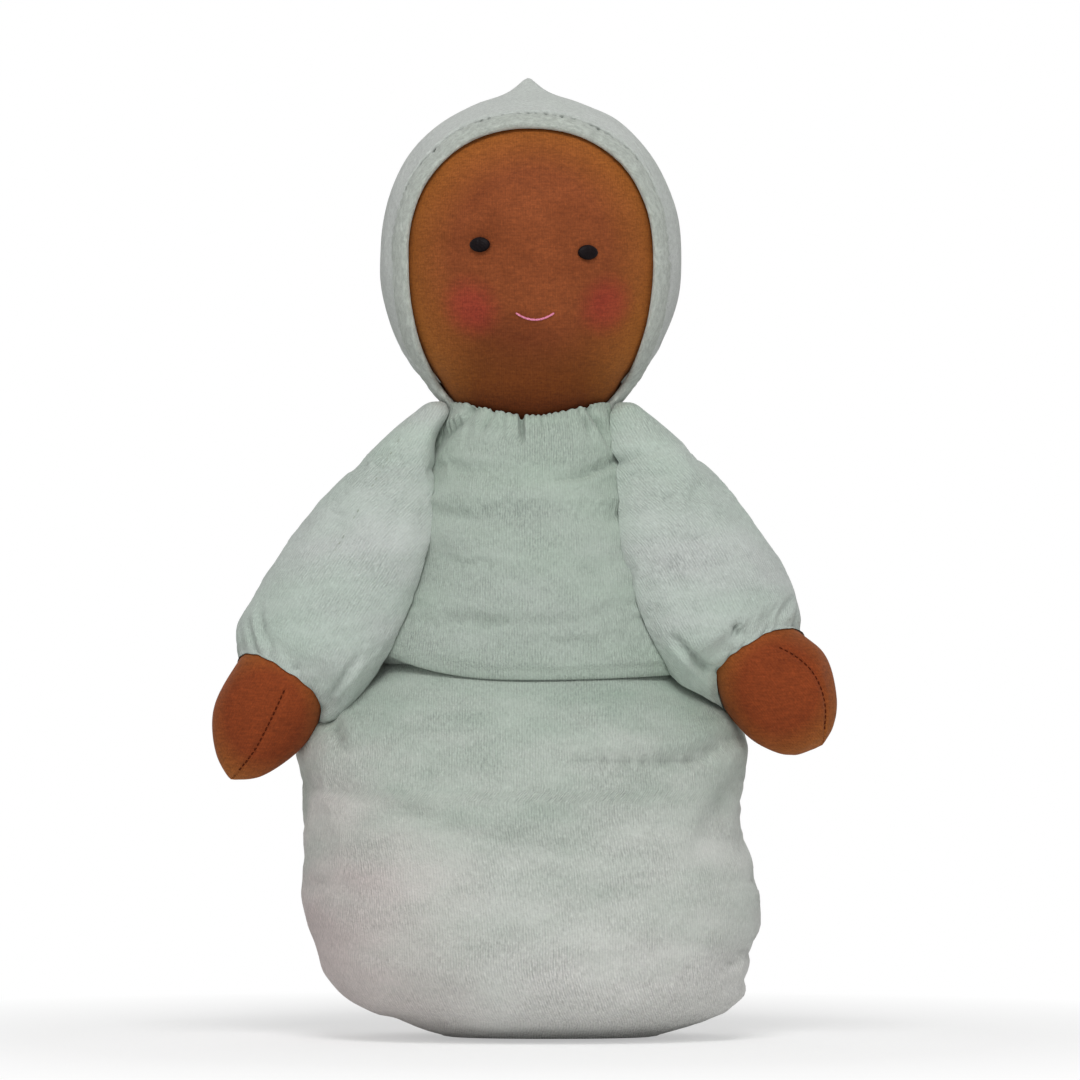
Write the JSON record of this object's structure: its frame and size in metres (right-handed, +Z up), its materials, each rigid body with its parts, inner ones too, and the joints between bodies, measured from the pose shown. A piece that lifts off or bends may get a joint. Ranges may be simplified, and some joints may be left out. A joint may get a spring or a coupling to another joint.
{
  "type": "waldorf doll",
  "caption": "Soft hooded velour sack doll with a round jersey head, stitched face, raglan sleeves and mitten hands, sitting upright on its stuffed sack.",
  "frame": {"origin": "middle of the doll's outer box at the surface that it stands on", "axes": "+Z up through the hood's tip, -Y out of the face, +X to the doll's left"},
  "size_m": [0.2212, 0.116, 0.34],
  "materials": {
    "sage_velour": "short velour nap, mottled pale sage to grey",
    "brown_jersey": "fine brown cotton jersey",
    "wool_stuffing": "natural sheep's wool",
    "cotton_gauze": "cotton gauze",
    "white_thread": "twisted thread",
    "dark_thread": "satin-stitched embroidery thread",
    "pink_thread": "embroidery thread"
  },
  "bodies": {
    "sack": {"sack_front": "sage_velour", "sack_back": "sage_velour", "sack_wool": "wool_stuffing"},
    "torso": {"bodice_front": "sage_velour", "bodice_back": "sage_velour", "torso_wool": "wool_stuffing", "neck_edge": "sage_velour", "neck_gather_thread": "white_thread"},
    "neck": {"neck_core": "cotton_gauze"},
    "neck_ties": {"neck_tie": "white_thread"},
    "head": {"head_skin": "brown_jersey", "head_lining": "cotton_gauze", "head_wool": "wool_stuffing", "left_eye": "dark_thread", "right_eye": "dark_thread", "mouth_stitch": "pink_thread", "hood": "sage_velour", "hood_hem": "sage_velour"},
    "left_shoulder": {"left_shoulder_stitches": "white_thread"},
    "left_arm": {"left_sleeve": "sage_velour", "left_arm_wool": "wool_stuffing", "left_cuff": "sage_velour", "left_cuff_thread": "white_thread"},
    "left_hand": {"left_hand_skin": "brown_jersey", "left_hand_wool": "wool_stuffing"},
    "right_shoulder": {"right_shoulder_stitches": "white_thread"},
    "right_arm": {"right_sleeve": "sage_velour", "right_arm_wool": "wool_stuffing", "right_cuff": "sage_velour", "right_cuff_thread": "white_thread"},
    "right_hand": {"right_hand_skin": "brown_jersey", "right_hand_wool": "wool_stuffing"}
  },
  "joints": [
    {"name": "waist_bend", "type": "hinge", "parent": "sack", "child": "torso", "pos_m": [0.00265, 0, 0.085], "axis": [1, 0, 0], "range_deg": [-15, 30], "stiffness_Nm_per_rad": 2.5},
    {"name": "neck_turn", "type": "hinge", "parent": "torso", "child": "neck", "pos_m": [0.00265, 0, 0.245], "axis": [0, 0, 1], "range_deg": [-45, 45], "stiffness_Nm_per_rad": 0.2},
    {"name": "head_nod", "type": "hinge", "parent": "neck", "child": "neck_ties", "pos_m": [0.00265, 0, 0.245], "axis": [1, 0, 0], "range_deg": [-12, 12], "stiffness_Nm_per_rad": 0.5},
    {"name": "head_tilt", "type": "hinge", "parent": "neck_ties", "child": "head", "pos_m": [0.00265, 0, 0.245], "axis": [0, 1, 0], "range_deg": [-12, 12], "stiffness_Nm_per_rad": 0.5, "deforming": ["neck_edge", "neck_gather_thread"]},
    {"name": "left_shoulder_raise", "type": "hinge", "parent": "torso", "child": "left_shoulder", "pos_m": [0.03474, -0.011, 0.222], "axis": [0, -1, 0], "range_deg": [0, 75]},
    {"name": "left_shoulder_swing", "type": "hinge", "parent": "left_shoulder", "child": "left_arm", "pos_m": [0.03474, -0.011, 0.222], "axis": [-1, 0, 0], "range_deg": [0, 70]},
    {"name": "left_wrist_bend", "type": "hinge", "parent": "left_arm", "child": "left_hand", "pos_m": [0.07981, -0.01664, 0.13827], "axis": [0.8806, 0, 0.4739], "range_deg": [-20, 20], "stiffness_Nm_per_rad": 0.08, "deforming": ["left_cuff", "left_cuff_thread"]},
    {"name": "right_shoulder_raise", "type": "hinge", "parent": "torso", "child": "right_shoulder", "pos_m": [-0.02944, -0.011, 0.222], "axis": [0, 1, 0], "range_deg": [0, 75]},
    {"name": "right_shoulder_swing", "type": "hinge", "parent": "right_shoulder", "child": "right_arm", "pos_m": [-0.02944, -0.011, 0.222], "axis": [-1, 0, 0], "range_deg": [0, 70]},
    {"name": "right_wrist_bend", "type": "hinge", "parent": "right_arm", "child": "right_hand", "pos_m": [-0.08313, -0.01668, 0.12978], "axis": [0.8642, 0, -0.5031], "range_deg": [-20, 20], "stiffness_Nm_per_rad": 0.08, "deforming": ["right_cuff", "right_cuff_thread"]}
  ]
}
